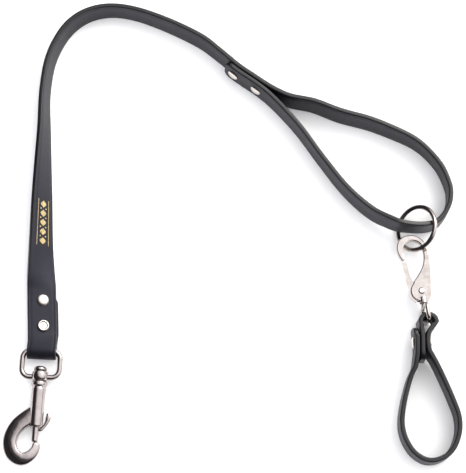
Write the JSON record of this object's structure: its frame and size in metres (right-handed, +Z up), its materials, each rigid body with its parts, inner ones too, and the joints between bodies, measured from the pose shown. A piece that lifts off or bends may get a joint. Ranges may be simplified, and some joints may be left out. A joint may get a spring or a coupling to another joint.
{
  "type": "training leash",
  "caption": "Short flat training leash with a riveted grip loop, a swivel bolt snap at one end, and a ring, spring clip and finger tab at the grip.",
  "frame": {"origin": "middle of the leash as it lies in a hook shape, at the floor", "axes": "+Y from the bolt snap towards the top of the bend, +X towards the grip loop, +Z up from the floor"},
  "size_m": [0.3108, 0.329, 0.0274],
  "materials": {
    "black_coated_strap": "black coated imitation leather, pressed grain, sealed edges",
    "bright_nickel": "bright nickel plate over die-cast zinc",
    "nickel_rivet": "bright nickel plate over steel",
    "spring_steel": "bare spring wire"
  },
  "bodies": {
    "leash": {"main_strap": "black_coated_strap", "snap_rivet_upper_stem": "nickel_rivet", "snap_rivet_upper_cap": "nickel_rivet", "snap_rivet_lower_stem": "nickel_rivet", "snap_rivet_lower_cap": "nickel_rivet", "grip_rivet_upper_stem": "nickel_rivet", "grip_rivet_upper_cap": "nickel_rivet", "grip_rivet_lower_stem": "nickel_rivet", "grip_rivet_lower_cap": "nickel_rivet"},
    "swivel_eye": {"swivel_eye": "bright_nickel"},
    "snap_body": {"snap_body": "bright_nickel", "swivel_stud": "bright_nickel", "plunger_spring": "spring_steel"},
    "plunger": {"plunger": "bright_nickel", "thumb_lever": "bright_nickel"},
    "handle_ring": {"handle_ring": "bright_nickel"},
    "clip": {"clip_frame": "bright_nickel", "gate_pin": "bright_nickel", "gate_spring": "spring_steel"},
    "clip_gate": {"clip_gate": "bright_nickel"},
    "clip_eye": {"clip_eye": "bright_nickel"},
    "tab": {"tab_strap": "black_coated_strap", "tab_rivet_stem": "nickel_rivet", "tab_rivet_cap": "nickel_rivet"}
  },
  "joints": [
    {"name": "eye_fold", "type": "hinge", "parent": "leash", "child": "swivel_eye", "pos_m": [-0.1308, -0.0861, 0.0064], "axis": [0.9986, -0.0523, 0], "range_deg": [-75, 75]},
    {"name": "snap_swivel", "type": "hinge", "parent": "swivel_eye", "child": "snap_body", "pos_m": [-0.1308, -0.0861, 0.0064], "axis": [-0.0523, -0.9986, 0], "continuous": true},
    {"name": "plunger_slide", "type": "slide", "parent": "snap_body", "child": "plunger", "axis": [0.0523, 0.9986, 0], "range_m": [0, 0.009], "stiffness_N_per_m": 400, "springref_m": -0.004, "deforming": ["plunger_spring"]},
    {"name": "ring_turn", "type": "hinge", "parent": "leash", "child": "handle_ring", "pos_m": [0.1284, -0.0008, 0.0128], "axis": [-0.6542, 0.0585, 0.7541], "range_deg": [-20, 20]},
    {"name": "clip_swing", "type": "hinge", "parent": "handle_ring", "child": "clip", "pos_m": [0.12437, -0.01558, 0.01045], "axis": [0.7101, -0.2956, 0.639], "range_deg": [-25, 25]},
    {"name": "gate_hinge", "type": "hinge", "parent": "clip", "child": "clip_gate", "pos_m": [0.1306, -0.04585, 0.0134], "axis": [0.0097, -0.0691, -0.9976], "range_deg": [0, 24], "stiffness_Nm_per_rad": 0.02, "springref_deg": -17.19, "deforming": ["gate_spring"]},
    {"name": "clip_swivel", "type": "hinge", "parent": "clip", "child": "clip_eye", "pos_m": [0.13189, -0.05292, 0.0139], "axis": [-0.1388, 0.9879, -0.0698], "continuous": true},
    {"name": "tab_fold", "type": "hinge", "parent": "clip_eye", "child": "tab", "pos_m": [0.13387, -0.06698, 0.0139], "axis": [0, 0, 1], "range_deg": [-45, 45]}
  ]
}
